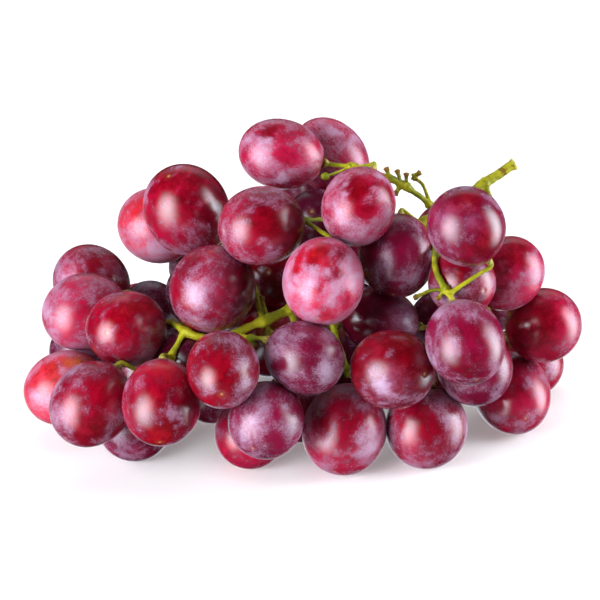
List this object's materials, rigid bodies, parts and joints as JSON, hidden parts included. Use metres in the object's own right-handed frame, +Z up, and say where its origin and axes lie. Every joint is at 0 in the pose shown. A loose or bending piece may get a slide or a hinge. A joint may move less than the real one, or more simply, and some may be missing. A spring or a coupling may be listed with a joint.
{
  "type": "bunch of grapes",
  "caption": "Bunch of red table grapes lying on its side: oval berries in plum, wine and coral red with a dusty bloom, on a branching green stem with dried stalks at the top",
  "frame": {"origin": "middle of the bunch's bounding box, on the surface it lies on", "axes": "+X along the bunch, from its far tip towards the cut end of the stem; +Y away from its front side; +Z up from the surface"},
  "size_m": [0.1768, 0.131, 0.094],
  "materials": {
    "grape_skin_wine": "thin smooth grape skin, deep wine red, with a patchy dusty bloom",
    "grape_skin_plum": "thin smooth grape skin, plum purple to mauve, under a heavier dusty bloom",
    "grape_skin_coral": "thin smooth grape skin, bright coral and orange red, where the flesh lets light through",
    "stem_green": "fresh green grape stem, matt, with brown scars and dry tips"
  },
  "bodies": {
    "root": {"berry_01": "grape_skin_wine", "berry_02": "grape_skin_wine", "berry_03": "grape_skin_wine", "berry_04": "grape_skin_coral", "berry_05": "grape_skin_wine", "berry_06": "grape_skin_wine", "berry_07": "grape_skin_coral", "berry_08": "grape_skin_wine", "berry_09": "grape_skin_wine", "berry_10": "grape_skin_wine", "berry_11": "grape_skin_wine", "berry_12": "grape_skin_wine", "berry_13": "grape_skin_wine", "berry_14": "grape_skin_plum", "berry_15": "grape_skin_plum", "berry_16": "grape_skin_plum", "berry_17": "grape_skin_coral", "berry_18": "grape_skin_plum", "berry_19": "grape_skin_wine", "berry_20": "grape_skin_wine", "berry_21": "grape_skin_plum", "berry_22": "grape_skin_wine", "berry_23": "grape_skin_plum", "berry_24": "grape_skin_wine", "berry_25": "grape_skin_plum", "berry_26": "grape_skin_plum", "berry_27": "grape_skin_wine", "berry_28": "grape_skin_wine", "berry_29": "grape_skin_wine", "berry_30": "grape_skin_wine", "berry_31": "grape_skin_wine", "berry_32": "grape_skin_wine", "berry_33": "grape_skin_wine", "berry_34": "grape_skin_plum", "berry_35": "grape_skin_plum", "berry_36": "grape_skin_wine", "berry_37": "grape_skin_plum", "berry_38": "grape_skin_plum", "berry_39": "grape_skin_wine", "berry_40": "grape_skin_wine", "berry_41": "grape_skin_plum", "berry_42": "grape_skin_wine", "berry_43": "grape_skin_wine", "berry_44": "grape_skin_plum", "berry_45": "grape_skin_wine", "berry_46": "grape_skin_wine", "berry_47": "grape_skin_wine", "berry_48": "grape_skin_plum", "berry_49": "grape_skin_plum", "berry_50": "grape_skin_wine", "berry_51": "grape_skin_plum", "berry_52": "grape_skin_wine", "berry_53": "grape_skin_wine", "berry_54": "grape_skin_plum", "berry_55": "grape_skin_wine", "berry_56": "grape_skin_coral", "berry_57": "grape_skin_plum", "berry_58": "grape_skin_wine", "berry_59": "grape_skin_wine", "stem": "stem_green"}
  },
  "joints": []
}
